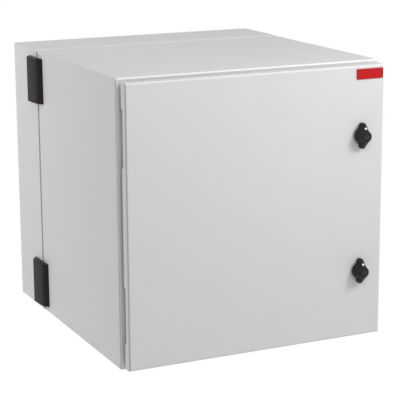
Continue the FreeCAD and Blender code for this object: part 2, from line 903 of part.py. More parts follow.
def make_catch_knob(end, sign):
    """Wing and spindle in one piece, modelled about its own axis from the plate's front face."""
    body = new_body(f"catch_knob_{end}")
    hub_low = D.seat_gap
    hub_high = hub_low + D.catch_knob_height
    spindle_end = catch_plate_front - catch_cam_reach
    thread_end = spindle_end + D.latch_cam_thickness + D.cam_nut_height
    hub = sketch_on(body, "XY_Plane")
    polygon(
        hub,
        (0, -hub_high), (D.catch_knob_radius, -hub_high), (D.catch_knob_radius, -hub_low),
        (D.catch_spindle_radius, -hub_low), (D.catch_spindle_radius, spindle_end),
        (D.latch_thread_radius, spindle_end), (D.latch_thread_radius, thread_end), (0, thread_end),
    )
    revolve(body, hub)
    wing = sketch_on(body, "YZ_Plane", -D.catch_wing_thickness / 2)
    top = -D.catch_wing_height
    rectangle(wing, top, -D.catch_wing_reach, -hub_low, D.catch_wing_reach)
    pad(body, wing, D.catch_wing_thickness)
    half = D.catch_wing_reach.number
    bevel_edges(
        body, D.catch_wing_thickness,
        lambda edge: runs_along_x(edge) and abs(abs(edge.BoundBox.ZMin) - half) < TOLERANCE
        and edge.BoundBox.YMin < top.number + TOLERANCE,
    )
    place(body, catch_x, -catch_plate_front, catch_height(sign))


def cam_outline(body, thickness, length, root, tip):
    """A flat cam that hangs from its spindle, wide at the root and narrow at the tip."""
    arm = sketch_on(body, "XZ_Plane")
    bottom = -length - tip
    polygon(
        arm,
        (-root / 2, root), (-root, root / 2), (-root, -root / 2), (-tip, -length), (-tip / 2, bottom),
        (tip / 2, bottom), (tip, -length), (root, -root / 2), (root, root / 2), (root / 2, root),
    )
    circle(arm, 0, 0, D.latch_thread_radius + D.shaft_gap)
    pad(body, arm, thickness)


def make_catch_cam(end, sign):
    body = new_body(f"catch_cam_{end}")
    root = D.catch_spindle_radius + D.wall
    cam_outline(body, D.latch_cam_thickness, D.catch_cam_length, root, D.latch_cam_tip)
    place(body, catch_x, -catch_cam_reach + D.latch_cam_thickness, catch_height(sign))


def make_catch_nut(end, sign):
    at = (catch_x, -catch_cam_reach + D.latch_cam_thickness, catch_height(sign))
    bore = D.latch_thread_radius + D.shaft_gap
    keep(f"catch_nut_{end}", nut(D.cam_nut_width, D.cam_nut_height, bore, at, REAR))


# Door: a formed tray with a gasket, on two hidden hinges

def latch_height(sign):
    return (door_half_height - D.latch_end_inset) * sign


latch_x = door_half_width - D.latch_inset


def make_door_panel():
    body = new_body("door_panel")
    outline = sketch_on(body, "XZ_Plane", rim_reach)
    frame_outline(outline, door_half_width, door_half_height)
    pad(body, outline, D.door_depth)
    round_edges(body, door_bend, at_y(face_reach))
    shell_out(body, D.wall, at_y(rim_reach))
    notches = sketch_on(body, "YZ_Plane", -door_half_width + D.wall)
    for _, sign in ENDS:
        centre = door_hinge_height(sign)
        half = D.hinge_notch_length / 2
        rectangle(notches, -rim_reach - D.hinge_notch_cut, centre - half, -rim_reach, centre + half)
    pocket(body, notches, D.wall)
    latches = sketch_on(body, "XZ_Plane", skin_reach)
    for _, sign in ENDS:
        circle(latches, latch_x, latch_height(sign), D.latch_barrel_radius + D.seat_gap)
    pocket(body, latches, D.wall, reverse=True)


def make_door_gasket():
    body = new_body("door_gasket")
    ring = sketch_on(body, "XZ_Plane", gasket_reach)
    middle_x = collar_outer_x - D.wall / 2
    middle_z = collar_outer_z - D.wall / 2
    frame_outline(ring, middle_x + D.gasket_width / 2, middle_z + D.gasket_width / 2)
    frame_outline(ring, middle_x - D.gasket_width / 2, middle_z - D.gasket_width / 2)
    pad(body, ring, D.gasket_height)


def make_front_plate():
    body = new_body("front_plate")
    right = door_half_width - D.plate_side_margin
    top = door_half_height - D.plate_top_margin
    outline = sketch_on(body, "XZ_Plane", face_reach)
    rectangle(outline, right - D.plate_width, top - D.plate_height, right, top)
    pad(body, outline, D.plate_thickness + D.plate_rim_height)
    round_edges(body, D.plate_corner, runs_along_y)
    field = sketch_on(body, "XZ_Plane", face_reach + D.plate_thickness + D.plate_rim_height)
    rectangle(
        field, right - D.plate_width + D.plate_rim, top - D.plate_height + D.plate_rim,
        right - D.plate_rim, top - D.plate_rim,
    )
    pocket(body, field, D.plate_rim_height)


# Door hinge, modelled about its own pin

hinge_bore = D.hinge_pin_radius + D.shaft_gap
hinge_plate_out = -collar_outer_x - hinge_pivot_x
hinge_flange_in = hinge_pivot_reach - front_reach
hinge_skin_out = D.hinge_pivot_back - D.wall


def hinge_place(thing, sign):
    place(thing, hinge_pivot_x, -hinge_pivot_reach, door_hinge_height(sign))


def make_hinge_bracket(end, sign):
    """The fixed half: a plate on the gutter and one knuckle in the middle."""
    body = new_body(f"door_hinge_bracket_{end}")
    low = -D.hinge_knuckle_length / 2
    outline = sketch_on(body, "XY_Plane", low)
    plate_face = hinge_plate_out - D.hinge_plate
    rectangle(outline, plate_face, -D.hinge_knuckle_radius, hinge_plate_out, hinge_flange_in)
    pad(body, outline, D.hinge_knuckle_length)
    web = sketch_on(body, "XY_Plane", low)
    rectangle(web, 0, -D.hinge_web / 2, hinge_plate_out, D.hinge_web / 2)
    pad(body, web, D.hinge_knuckle_length)
    barrel = sketch_on(body, "XY_Plane", low)
    circle(barrel, 0, 0, D.hinge_knuckle_radius)
    pad(body, barrel, D.hinge_knuckle_length)
    bore = sketch_on(body, "XY_Plane", low)
    circle(bore, 0, 0, hinge_bore)
    pocket(body, bore, D.hinge_knuckle_length, reverse=True)
    holes = sketch_on(body, "YZ_Plane", plate_face)
    for side in (-1, 1):
        hole_y = hinge_pivot_reach - hinge_screw_reach
        circle(holes, hole_y, D.hinge_screw_spread * side, D.hinge_screw_radius + D.shaft_gap)
    pocket(body, holes, D.hinge_plate, reverse=True)
    hinge_place(body, sign)


def make_hinge_leaf(end, sign):
    """The moving half: a strip welded inside the door's skin, with a knuckle at each end."""
    body = new_body(f"door_hinge_leaf_{end}")
    low = -D.hinge_length / 2
    strip = sketch_on(body, "XY_Plane", low)
    left = -D.hinge_pivot_in + door_bend + D.seat_gap
    skin = -hinge_skin_out
    rectangle(strip, left, skin, left + D.hinge_leaf_width, skin + D.hinge_plate)
    pad(body, strip, D.hinge_length)
    web = sketch_on(body, "XY_Plane", low)
    rectangle(web, -D.hinge_web / 2, skin, D.hinge_web / 2, 0)
    pad(body, web, D.hinge_length)
    barrel = sketch_on(body, "XY_Plane", low)
    circle(barrel, 0, 0, D.hinge_knuckle_radius)
    pad(body, barrel, D.hinge_length)
    middle = sketch_on(body, "XY_Plane", -D.hinge_knuckle_length / 2 - D.seat_gap)
    room = D.hinge_knuckle_radius + D.seat_gap
    rectangle(middle, -room, -room, room, room)
    pocket(body, middle, D.hinge_knuckle_length + D.seat_gap * 2, reverse=True)
    bore = sketch_on(body, "XY_Plane", low)
    circle(bore, 0, 0, hinge_bore)
    pocket(body, bore, D.hinge_length, reverse=True)
    hinge_place(body, sign)


def make_hinge_pin(end, sign):
    at = (hinge_pivot_x, -hinge_pivot_reach, door_hinge_height(sign) - D.hinge_length / 2)
    keep(f"door_hinge_pin_{end}", cylinder(D.hinge_pin_radius, D.hinge_length, at, UP))


def make_hinge_screws():
    screws = []
    length = D.wall + D.hinge_plate
    for _, sign in ENDS:
        for height in hinge_screw_places(sign):
            at = (-collar_outer_x + D.wall, -hinge_screw_reach, height)
            screws.append(screw(D.hinge_screw_radius, length, D.hinge_screw_head, at, LEFT))
    group("door_hinge_screws", screws)


# Quarter-turn latch, modelled about its own axis from the door's face; the front is -Y

latch_cam_reach = front_reach - D.wall - D.latch_cam_gap
spindle_end = face_reach - latch_cam_reach
thread_end = spindle_end + D.latch_cam_thickness + D.cam_nut_height
knob_base = D.latch_rim_height + D.seat_gap
knob_top = D.knob_height


def latch_place(thing, sign, depth=0):
    place(thing, latch_x, -face_reach + depth, latch_height(sign))


def make_latch_housing(end, sign):
    """Escutcheon and threaded barrel in one turned piece."""
    body = new_body(f"latch_housing_{end}")
    bore = D.latch_spindle_radius + D.shaft_gap
    profile = sketch_on(body, "XY_Plane")
    polygon(
        profile,
        (bore, -D.latch_rim_height), (D.latch_rim_radius - D.latch_rim_height, -D.latch_rim_height),
        (D.latch_rim_radius, 0), (D.latch_barrel_radius, 0),
        (D.latch_barrel_radius, D.latch_barrel_length), (bore, D.latch_barrel_length),
    )
    revolve(body, profile)
    latch_place(body, sign)


def make_latch_nut(end, sign):
    at = (latch_x, -skin_reach, latch_height(sign))
    bore = D.latch_barrel_radius + D.shaft_gap
    keep(f"latch_nut_{end}", nut(D.latch_nut_width, D.latch_nut_height, bore, at, REAR))


def make_latch_knob(end, sign):
    """Round hub that narrows to its face, with a sloping wing above and below."""
    body = new_body(f"latch_knob_{end}")
    hub = sketch_on(body, "XY_Plane")
    shoulder = knob_base + D.knob_base_height
    polygon(
        hub,
        (0, -knob_top), (D.knob_face_radius - D.knob_edge, -knob_top),
        (D.knob_face_radius, -knob_top + D.knob_edge), (D.knob_base_radius, -shoulder),
        (D.knob_base_radius, -knob_base), (0, -knob_base),
    )
    revolve(body, hub)
    wing = sketch_on(body, "YZ_Plane", -D.wing_thickness / 2)
    tip = -knob_base - D.wing_shoulder
    face = -knob_top + D.wing_face_drop
    polygon(
        wing,
        (-knob_base, -D.wing_reach), (tip, -D.wing_reach), (face, -D.wing_face_reach),
        (face, D.wing_face_reach), (tip, D.wing_reach), (-knob_base, D.wing_reach),
    )
    pad(body, wing, D.wing_thickness)
    socket = sketch_on(body, "XZ_Plane", knob_base)
    circle(socket, 0, 0, D.latch_spindle_radius + D.shaft_gap)
    pocket(body, socket, D.knob_socket, reverse=True)
    lock = sketch_on(body, "XZ_Plane", knob_top)
    circle(lock, 0, 0, D.key_plug_radius + D.shaft_gap)
    pocket(body, lock, D.key_plug_length)
    latch_place(body, sign)


def make_latch_spindle(end, sign):
    body = new_body(f"latch_spindle_{end}")
    profile = sketch_on(body, "XY_Plane")
    front = -knob_base - D.knob_socket + D.seat_gap
    polygon(
        profile,
        (0, front), (D.latch_spindle_radius, front), (D.latch_spindle_radius, spindle_end),
        (D.latch_thread_radius, spindle_end), (D.latch_thread_radius, thread_end), (0, thread_end),
    )
    revolve(body, profile)
    latch_place(body, sign)


def make_latch_cam(end, sign):
    body = new_body(f"latch_cam_{end}")
    cam_outline(body, D.latch_cam_thickness, D.latch_cam_length, D.latch_cam_root, D.latch_cam_tip)
    latch_place(body, sign, spindle_end + D.latch_cam_thickness)


def make_cam_nut(end, sign):
    at = (latch_x, -latch_cam_reach + D.latch_cam_thickness, latch_height(sign))
    bore = D.latch_thread_radius + D.shaft_gap
    keep(f"latch_cam_nut_{end}", nut(D.cam_nut_width, D.cam_nut_height, bore, at, REAR))


def make_key_plug(end, sign):
    body = new_body(f"key_plug_{end}")
    depth = D.key_plug_length - D.seat_gap
    outline = sketch_on(body, "XZ_Plane", knob_top - depth)
    circle(outline, 0, 0, D.key_plug_radius)
    pad(body, outline, depth)
    slot = sketch_on(body, "XZ_Plane", knob_top)
    rectangle(
        slot, -D.key_slot_width / 2, -D.key_slot_height / 2,
        D.key_slot_width / 2, D.key_slot_height / 2,
    )
    pocket(body, slot, D.key_slot_depth)
    latch_place(body, sign)


# Earthing studs with their nuts

def make_earth_stud(section, at, direction):
    stud = prism(8, D.earth_stud_radius, D.earth_stud_length, at, direction)
    keep(f"earth_stud_{section}", stud)
    bore = D.earth_stud_radius + D.shaft_gap
    start = shifted(at, direction, D.earth_stud_length / 2)
    keep(f"earth_nut_{section}", small_nut(D.earth_nut_width, D.earth_nut_height, bore, start, direction))


make_back_box()
make_panel_studs()
make_seam_seal()
make_centre_frame()
make_door_panel()
make_door_gasket()
make_front_plate()
for end_name, end_sign in ENDS:
    make_swing_leaf(end_name, end_sign)
    make_swing_cover(end_name, end_sign)
    make_swing_pin(end_name, end_sign)
    make_hinge_bracket(end_name, end_sign)
    make_hinge_leaf(end_name, end_sign)
    make_hinge_pin(end_name, end_sign)
    make_latch_housing(end_name, end_sign)
    make_latch_nut(end_name, end_sign)
    make_latch_knob(end_name, end_sign)
    make_latch_spindle(end_name, end_sign)
    make_latch_cam(end_name, end_sign)
    make_cam_nut(end_name, end_sign)
    make_key_plug(end_name, end_sign)
    make_catch_plate(end_name, end_sign)
    make_catch_knob(end_name, end_sign)
    make_catch_cam(end_name, end_sign)
    make_catch_nut(end_name, end_sign)
    for side_name, side_sign in SIDES:
        make_rack_rail(end_name, end_sign, side_name, side_sign)
for side_name, side_sign in SIDES:
    make_rack_angle(side_name, side_sign)
make_rack_bolts()
make_hinge_screws()
make_swing_screws("hinge_screws_back", half_width, leaf_screw_reach)
make_swing_screws("hinge_screws_centre", centre_half_width, cover_screw_reach)
back_floor = (half_width - D.earth_inset * 2, -D.back_depth / 2, -half_height + D.wall)
centre_floor_z = -centre_half_height + D.wall
centre_floor = (-centre_half_width + D.earth_inset * 2, -front_reach + D.earth_inset * 3, centre_floor_z)
door_skin = (-door_half_width + D.earth_inset, -skin_reach, -door_half_height + D.earth_inset)
make_earth_stud("back", back_floor, UP)
make_earth_stud("centre", centre_floor, UP)
make_earth_stud("door", door_skin, REAR)

doc.recompute()
for thing in doc.Objects:
    if "Invalid" in thing.State or "Error" in thing.State:
        raise RuntimeError(f"{thing.Label} failed")

os.makedirs("parts", exist_ok=True)
for node, thing in nodes.items():
    shape = thing.Shape
    if shape.isNull() or not shape.isValid():
        raise RuntimeError(f"{node} has no valid shape")
    shape.exportStep(f"parts/{node}.step")
print(f"{len(nodes)} sub-parts")
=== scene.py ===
import bpy
import bmesh
import math
from mathutils import Matrix, Vector


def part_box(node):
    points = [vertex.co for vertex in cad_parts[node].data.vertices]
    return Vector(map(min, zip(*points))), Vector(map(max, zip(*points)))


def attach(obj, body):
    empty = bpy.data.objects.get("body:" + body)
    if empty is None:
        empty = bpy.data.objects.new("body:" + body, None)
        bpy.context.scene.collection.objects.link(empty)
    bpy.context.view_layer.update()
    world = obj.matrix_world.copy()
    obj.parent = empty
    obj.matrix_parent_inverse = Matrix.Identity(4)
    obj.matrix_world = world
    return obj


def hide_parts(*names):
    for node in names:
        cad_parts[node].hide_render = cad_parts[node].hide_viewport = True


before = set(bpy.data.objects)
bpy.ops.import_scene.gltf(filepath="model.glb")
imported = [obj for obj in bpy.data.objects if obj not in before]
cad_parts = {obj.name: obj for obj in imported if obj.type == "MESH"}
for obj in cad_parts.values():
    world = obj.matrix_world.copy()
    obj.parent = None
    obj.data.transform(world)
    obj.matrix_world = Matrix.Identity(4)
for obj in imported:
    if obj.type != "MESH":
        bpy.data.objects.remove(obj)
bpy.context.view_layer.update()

# Powder-coated sheet steel: back box, centre section and door.
# Folded from 2 mm sheet, welded and sprayed one even light grey with the fine orange peel of baked powder.
# Painted highlights make the edges, the forward bends and the seam lips on top lighter; painted shade
# darkens the left bends.


def shader_group(name, inputs):
    """A node group that holds one surface shader; inputs are (name, socket type, value)."""
    group = bpy.data.node_groups.new(name, "ShaderNodeTree")
    for label, kind, value in inputs:
        socket = group.interface.new_socket(label, in_out="INPUT", socket_type=kind)
        socket.default_value = value
    group.interface.new_socket("Color", in_out="OUTPUT", socket_type="NodeSocketColor")
    group.interface.new_socket("Roughness", in_out="OUTPUT", socket_type="NodeSocketFloat")
    group.interface.new_socket("Normal", in_out="OUTPUT", socket_type="NodeSocketVector")
    return group


def add(tree, kind, links=(), **values):
    """Adds a node, sets its properties and links named inputs from given sockets."""
    node = tree.nodes.new(kind)
    for key, value in values.items():
        setattr(node, key, value)
    for socket, source in links:
        if isinstance(source, bpy.types.NodeSocket):
            tree.links.new(source, node.inputs[socket])
        else:
            node.inputs[socket].default_value = source
    return node


def scaled(tree, source, low, high, new_low, new_high):
    links = [(0, source), (1, low), (2, high), (3, new_low), (4, new_high)]
    return add(tree, "ShaderNodeMapRange", links).outputs[0]


def maths(tree, operation, first, second=0.0):
    return add(tree, "ShaderNodeMath", [(0, first), (1, second)], operation=operation).outputs[0]


def noise(tree, place, scale, detail):
    links = [("Vector", place), ("Scale", scale), ("Detail", detail)]
    return add(tree, "ShaderNodeTexNoise", links).outputs[0]


def cells(tree, place, scale):
    return add(tree, "ShaderNodeTexVoronoi", [("Vector", place), ("Scale", scale)]).outputs[0]


def brightened(tree, colour, gain):
    return add(tree, "ShaderNodeVectorMath", [(0, colour), ("Scale", gain)], operation="SCALE").outputs[0]


def close_group(group, colour, roughness, normal):
    """Leads the finished surface out of its group."""
    result = add(group, "NodeGroupOutput")
    group.links.new(colour, result.inputs["Color"])
    group.links.new(roughness, result.inputs["Roughness"])
    group.links.new(normal, result.inputs["Normal"])
    return group


BROAD_SCALE = 3.0
SPECK_SCALE = 2400.0
SPECK_SPREAD = 0.012
ROUGHNESS_SPREAD = 0.04
PEEL_DEPTH = 0.0004
LIP_REACH = 0.0120
LIP_FADE = 0.0040


def coated_group():
    """Sprayed coat: tone variation, orange peel, speckle, painted highlights on edges, bends and lips,
    painted shade on left bends.
    """
    group = shader_group("SprayedCoat", [
        ("Base", "NodeSocketColor", (0.6, 0.6, 0.6, 1)),
        ("Edge", "NodeSocketColor", (0.8, 0.8, 0.8, 1)),
        ("Edge width", "NodeSocketFloat", 0.0015),
        ("Edge amount", "NodeSocketFloat", 0.3),
        ("Roughness", "NodeSocketFloat", 0.4),
        ("Peel size", "NodeSocketFloat", 900.0),
        ("Peel height", "NodeSocketFloat", 0.06),
        ("Tone amount", "NodeSocketFloat", 0.03),
        ("Bend amount", "NodeSocketFloat", 0.0),
        ("Side shade", "NodeSocketFloat", 0.0),
        ("Lip place", "NodeSocketFloat", 0.0),
        ("Lip amount", "NodeSocketFloat", 0.0),
    ])
    source = add(group, "NodeGroupInput").outputs
    place = add(group, "ShaderNodeTexCoord").outputs["Object"]
    broad = noise(group, place, BROAD_SCALE, 3.0)
    fine = noise(group, place, source["Peel size"], 2.0)
    dust = noise(group, place, SPECK_SCALE, 1.0)
    tone = maths(group, "MULTIPLY", scaled(group, broad, 0.3, 0.7, -1, 1), source["Tone amount"])
    speck = scaled(group, dust, 0.3, 0.7, -SPECK_SPREAD, SPECK_SPREAD)
    gain = maths(group, "ADD", maths(group, "ADD", tone, speck), 1.0)
    toned = brightened(group, source["Base"], gain)

    # Painted highlight: within the edge width of an edge the colour is mixed towards the lighter Edge
    # colour.
    bevel = add(group, "ShaderNodeBevel", [("Radius", source["Edge width"])], samples=6).outputs[0]
    flat = add(group, "ShaderNodeNewGeometry").outputs["Normal"]
    same = add(group, "ShaderNodeVectorMath", [(0, bevel), (1, flat)], operation="DOT_PRODUCT")
    edge = scaled(group, same.outputs["Value"], 0.99, 0.75, 0.0, 1.0)
    edge = maths(group, "MULTIPLY", edge, source["Edge amount"])

    own = add(group, "ShaderNodeVectorTransform", [("Vector", bevel)],
              vector_type="NORMAL", convert_from="WORLD", convert_to="OBJECT").outputs[0]
    facing = add(group, "ShaderNodeSeparateXYZ", [(0, own)]).outputs
    size = add(group, "ShaderNodeVectorMath", [(0, own)], operation="ABSOLUTE").outputs[0]
    parts = add(group, "ShaderNodeSeparateXYZ", [(0, size)]).outputs
    # Painted highlight on bends that face forwards, stronger on bends that also face up.
    most = maths(group, "MAXIMUM", maths(group, "MAXIMUM", parts[0], parts[1]), parts[2])
    bend = scaled(group, most, 0.999, 0.965, 0.0, 1.0)
    bend = maths(group, "MULTIPLY", bend, scaled(group, facing[1], -0.08, -0.30, 0.0, 1.0))
    bend = maths(group, "MULTIPLY", bend, scaled(group, facing[2], -0.3, 0.3, 0.1, 1.0))
    bend = maths(group, "MULTIPLY", bend, source["Bend amount"])

    # Painted highlight on upward faces in a band either side of the seam, centred at Lip place.
    depth = add(group, "ShaderNodeSeparateXYZ", [(0, place)]).outputs[1]
    apart = maths(group, "ABSOLUTE", maths(group, "SUBTRACT", depth, source["Lip place"]))
    lip = scaled(group, apart, LIP_REACH, LIP_REACH - LIP_FADE, 0.0, 1.0)
    lip = maths(group, "MULTIPLY", lip, source["Lip amount"])
    lip = maths(group, "MULTIPLY", lip, scaled(group, facing[2], 0.1, 0.5, 0.0, 1.0))

    bright = maths(group, "MAXIMUM", maths(group, "MAXIMUM", edge, bend), lip)
    mixed = add(group, "ShaderNodeMix", [(0, bright), (6, toned), (7, source["Edge"])], data_type="RGBA")
    # Painted shade: bends that face left and forwards are darkened by Side shade.
    sideways = scaled(group, facing[0], -0.30, -0.50, 0.0, 1.0)
    forward = scaled(group, facing[1], -0.10, -0.30, 0.0, 1.0)
    shade = maths(group, "MULTIPLY", maths(group, "MULTIPLY", sideways, forward), source["Side shade"])
    coat = brightened(group, mixed.outputs[2], maths(group, "SUBTRACT", 1.0, shade))
    uneven = scaled(group, broad, 0.3, 0.7, -ROUGHNESS_SPREAD, ROUGHNESS_SPREAD)
    rough = maths(group, "ADD", source["Roughness"], uneven)
    bump = add(group, "ShaderNodeBump", [("Strength", source["Peel height"]), ("Distance", PEEL_DEPTH),
                                         ("Height", fine), ("Normal", bevel)])
    return close_group(group, coat, rough, bump.outputs[0])


def material(name, group, values, metallic=0.0, **uniform):
    """A material whose surface comes from a group; uniform values are set on the shader itself."""
    result = bpy.data.materials.new(name)
    result.use_nodes = True
    tree = result.node_tree
    shader = tree.nodes["Principled BSDF"]
    surface = add(tree, "ShaderNodeGroup", node_tree=group)
    for label, value in values.items():
        surface.inputs[label].default_value = value
    tree.links.new(surface.outputs["Color"], shader.inputs["Base Color"])
    tree.links.new(surface.outputs["Roughness"], shader.inputs["Roughness"])
    tree.links.new(surface.outputs["Normal"], shader.inputs["Normal"])
    shader.inputs["Metallic"].default_value = metallic
    for label, value in uniform.items():
        shader.inputs[label.replace("_", " ")].default_value = value
    return result


def dress(look, *names):
    """Gives CAD nodes their material; the mesh stays as it is."""
    for name in names:
        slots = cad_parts[name].material_slots
        if not slots:
            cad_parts[name].data.materials.append(look)
        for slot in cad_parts[name].material_slots:
            slot.material = look


ENDS = ("upper", "lower")
coated = coated_group()
SEAM_GAP = 0.005
# Depth of the seam, where the painted highlight along the seam lips is centred.
seam_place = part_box("back_box")[0].y - SEAM_GAP / 2
# Edge colour and amounts set the painted highlights on edges, bends and seam lips; Side shade sets the
# painted shade of left bends.
coat_values = {
    "Base": (0.640, 0.642, 0.640, 1), "Edge": (0.88, 0.88, 0.88, 1), "Edge width": 0.0024,
    "Edge amount": 0.75, "Roughness": 0.42, "Peel size": 700.0, "Peel height": 0.12, "Tone amount": 0.012,
    "Bend amount": 1.0, "Side shade": 0.36, "Lip place": seam_place, "Lip amount": 0.9,
}
powder_coat = material("powder_coat_grey", coated, coat_values)
# The door's copy of the coat differs only by a weaker painted edge highlight and no painted seam highlight.
door_values = coat_values | {"Edge": (0.74, 0.74, 0.74, 1), "Lip amount": 0.0}
door_coat = material("powder_coat_door", coated, door_values)
dress(powder_coat, "back_box", "centre_frame")
dress(door_coat, "door_panel")

# Swing hinges: fixed leaves and domed covers.
# Die-cast zinc with a satin black coat, screwed on from inside the cabinet. The coat of the fixed leaf is
# the shinier of the two, and its lighter colour is a painted highlight.

# The lighter Edge colours of the castings are painted highlights along their edges.
black_casting = material("black_casting", coated, {
    "Base": (0.0150, 0.0120, 0.0135, 1), "Edge": (0.05, 0.046, 0.048, 1), "Edge width": 0.0009,
    "Edge amount": 0.5, "Roughness": 0.50, "Peel size": 1500.0, "Peel height": 0.06, "Tone amount": 0.10,
}, Specular_IOR_Level=0.14)
highlit_casting = material("highlit_casting", coated, {
    "Base": (0.034, 0.029, 0.032, 1), "Edge": (0.09, 0.085, 0.088, 1), "Edge width": 0.0009,
    "Edge amount": 0.5, "Roughness": 0.42, "Peel size": 1500.0, "Peel height": 0.06, "Tone amount": 0.10,
}, Specular_IOR_Level=0.30)
for end in ENDS:
    dress(black_casting, f"swing_hinge_cover_{end}")
    dress(highlit_casting, f"swing_hinge_leaf_{end}")

# Wing knobs of the door and of the inner catches.
# Moulded in glass-filled nylon with a fine spark-eroded texture: a round hub that narrows to the lock, with
# two rounded wings. A plain white dot printed on the upper wing shows which way the knob points.

# The lighter Edge colour is a painted highlight along the knob's edges.
black_plastic = material("black_plastic", coated, {
    "Base": (0.0135, 0.0110, 0.0122, 1), "Edge": (0.05, 0.048, 0.05, 1), "Edge width": 0.0008,
    "Edge amount": 0.45, "Roughness": 0.40, "Peel size": 2600.0, "Peel height": 0.10, "Tone amount": 0.15,
}, Specular_IOR_Level=0.22)
white_print = material("white_print", coated, {
    "Base": (0.80, 0.80, 0.79, 1), "Edge": (0.80, 0.80, 0.79, 1), "Edge width": 0.0001,
    "Edge amount": 0.0, "Roughness": 0.5, "Peel size": 2600.0, "Peel height": 0.02, "Tone amount": 0.03,
})
for end in ENDS:
    dress(black_plastic, f"latch_knob_{end}", f"catch_knob_{end}")

KNOB_SIDES = 144
WING_HALF = 0.0070
WING_TIP_HEIGHT = 0.008
WING_FACE_REACH = 0.013
WING_FACE_DROP = 0.002
HUB_SHOULDER = 0.009
HUB_FACE_RADIUS = 0.012
HUB_EDGE = 0.0015
FOOT_EDGE = 0.0003
FLANK_HEIGHT = 0.004
TIP_MARGIN = 0.001
FACE_MARGIN = 0.0001
SLOPE_STEP = 0.0011
SLOPE_STEPS = 11
EDGE_INSET = 0.0004
BLEND_REACH = 0.0014
BLEND_RISE = 0.00035
SOCKET_DEPTH = 0.0083
PLUG_ROOM = 0.0002
KNOB_SHARP_ANGLE = 38
DOT_HEIGHT_UP_WING = 0.0172
DOT_RADIUS = 0.0026
DOT_SIDES = 24
DOT_LIFT = 0.00006


def between(value, low, high, at_low, at_high):
    share = min(max((value - low) / (high - low), 0), 1)
    return at_low + (at_high - at_low) * share


def wing_reach(height, top, reach):
    return between(height, WING_TIP_HEIGHT, top - WING_FACE_DROP, reach, WING_FACE_REACH)


def knob_radius(angle, height, top, hub, reach):
    """Distance from the axis to the knob's side, at an angle from upright and a height above the door."""
    round_part = between(height, HUB_SHOULDER, top - HUB_EDGE, hub, HUB_FACE_RADIUS)
    round_part -= max(height - (top - HUB_EDGE), 0)
    if height > top - WING_FACE_DROP:
        return round_part
    across, along = abs(math.sin(angle)), abs(math.cos(angle))
    centre = wing_reach(height, top, reach) - WING_HALF
    wing = WING_HALF / max(across, 1e-6)
    if wing * along > centre:
        wing = centre * along + math.sqrt(max(WING_HALF ** 2 - (centre * across) ** 2, 0))
    near = max(BLEND_REACH - abs(wing - round_part), 0) / BLEND_REACH
    return max(wing, round_part) + near * near * BLEND_RISE


def knob_heights(top):
    """Heights above the door at which the knob's section is drawn."""
    heights = [0, FOOT_EDGE, FLANK_HEIGHT, WING_TIP_HEIGHT - TIP_MARGIN, WING_TIP_HEIGHT, HUB_SHOULDER]
    heights += [HUB_SHOULDER + step * SLOPE_STEP for step in range(1, SLOPE_STEPS + 1)]
    heights += [top - WING_FACE_DROP - FACE_MARGIN, top - WING_FACE_DROP + FACE_MARGIN]
    heights += [top - HUB_EDGE, top - HUB_EDGE / 3, top]
    return heights


def knob_ring(shape, axis, face, height, radius_at):
    ring = []
    for step in range(KNOB_SIDES):
        angle = step * math.tau / KNOB_SIDES
        side, rise = radius_at(angle) * math.sin(angle), radius_at(angle) * math.cos(angle)
        ring.append(shape.verts.new((axis.x + side, face - height, axis.z + rise)))
    return ring


def add_dot(shape, axis, face, top, reach):
    """A printed dot draped over the slope of the upper wing."""
    run = reach - WING_FACE_REACH
    rise = top - WING_FACE_DROP - WING_TIP_HEIGHT
    slope = math.hypot(run, rise)
    rings = []
    for radius in (DOT_RADIUS * 0.33, DOT_RADIUS * 0.66, DOT_RADIUS):
        ring = []
        for step in range(DOT_SIDES):
            angle = step * math.tau / DOT_SIDES
            out = DOT_HEIGHT_UP_WING + radius * math.cos(angle) * run / slope
            height = WING_TIP_HEIGHT + (reach - out) * rise / run
            side = radius * math.sin(angle)
            drop = WING_HALF - math.sqrt(WING_HALF ** 2 - side ** 2)
            ring.append(shape.verts.new((
                axis.x + side, face - height - DOT_LIFT, axis.z + out - drop + DOT_LIFT)))
        rings.append(ring)
    patch = [shape.faces.new(rings[0])]
    for inner, outer in zip(rings, rings[1:]):
        for step in range(DOT_SIDES):
            following = (step + 1) % DOT_SIDES
            patch.append(shape.faces.new((inner[step], outer[step], outer[following], inner[following])))
    for part in patch:
        part.normal_update()
        part.material_index = 1
        if part.normal.y > 0:
            part.normal_flip()


